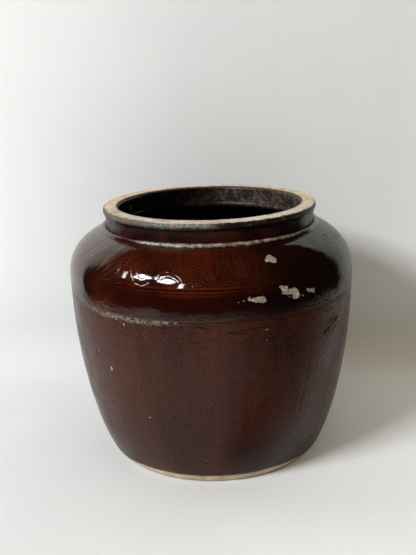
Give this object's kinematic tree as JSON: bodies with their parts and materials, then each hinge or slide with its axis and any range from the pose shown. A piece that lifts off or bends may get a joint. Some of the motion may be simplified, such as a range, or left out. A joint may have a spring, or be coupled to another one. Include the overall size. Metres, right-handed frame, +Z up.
{
  "type": "storage jar",
  "caption": "Round glazed stoneware storage jar with a wide open mouth, a thick bare rim, a short collar and a flat foot; stands free and holds food or liquid.",
  "frame": {"origin": "middle of the flat foot, on the surface that the jar stands on", "axes": "+Z up along the jar's axis, -Y towards the viewer of the picture, +X to the viewer's right"},
  "size_m": [0.2618, 0.2618, 0.2305],
  "materials": {
    "bare_clay": "rough bare fired clay",
    "wall_clay": "matt fired clay",
    "luting_clay": "matt worn clay",
    "brown_glaze": "satin ash glaze",
    "dark_glaze": "glossy ash glaze",
    "inner_glaze": "glossy dark glaze"
  },
  "bodies": {
    "root": {"base_slab": "bare_clay", "base_coil": "luting_clay", "lower_wall": "wall_clay", "seam_roll": "luting_clay", "shoulder_wall": "wall_clay", "collar": "wall_clay", "collar_roll": "luting_clay", "rim": "bare_clay", "lower_glaze": "brown_glaze", "shoulder_glaze": "dark_glaze", "collar_glaze": "dark_glaze", "inner_glaze": "inner_glaze"}
  },
  "joints": []
}
